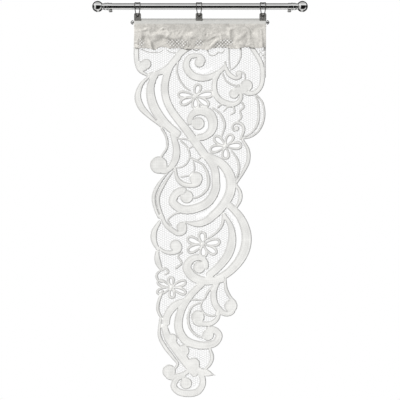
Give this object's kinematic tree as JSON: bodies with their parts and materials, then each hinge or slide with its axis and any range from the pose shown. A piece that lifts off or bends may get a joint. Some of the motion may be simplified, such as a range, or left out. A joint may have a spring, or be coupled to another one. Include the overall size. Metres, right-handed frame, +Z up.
{
  "type": "lace net curtain on a rod",
  "caption": "Tapering white scroll-and-flower lace net panel with a crumpled turned-over heading, hung by clip rings from a chrome rod with ball finials.",
  "frame": {"origin": "on the rod's axis, half way along the rod", "axes": "+X along the rod to the viewer's right, +Z up, the curtain's front faces -Y"},
  "size_m": [0.6834, 0.0342, 1.2561],
  "materials": {
    "chrome": "polished",
    "nickel": "dull plated wire and sheet",
    "heading_cloth": "dense crumpled lace, warm grey white",
    "lace": "white machine lace on a net ground"
  },
  "bodies": {
    "root": {"rod_tube": "chrome", "finial_left": "chrome", "finial_right": "chrome", "finial_screw_left": "chrome", "finial_screw_right": "chrome", "slim_rod": "chrome", "rod_cap_left": "chrome", "rod_cap_right": "chrome", "ring_left": "nickel", "ring_middle": "nickel", "ring_right": "nickel", "clip_front_left": "nickel", "clip_back_left": "nickel", "clip_pin_left": "nickel", "clip_front_middle": "nickel", "clip_back_middle": "nickel", "clip_pin_middle": "nickel", "clip_front_right": "nickel", "clip_back_right": "nickel", "clip_pin_right": "nickel", "heading": "heading_cloth", "lace_panel": "lace"}
  },
  "joints": []
}
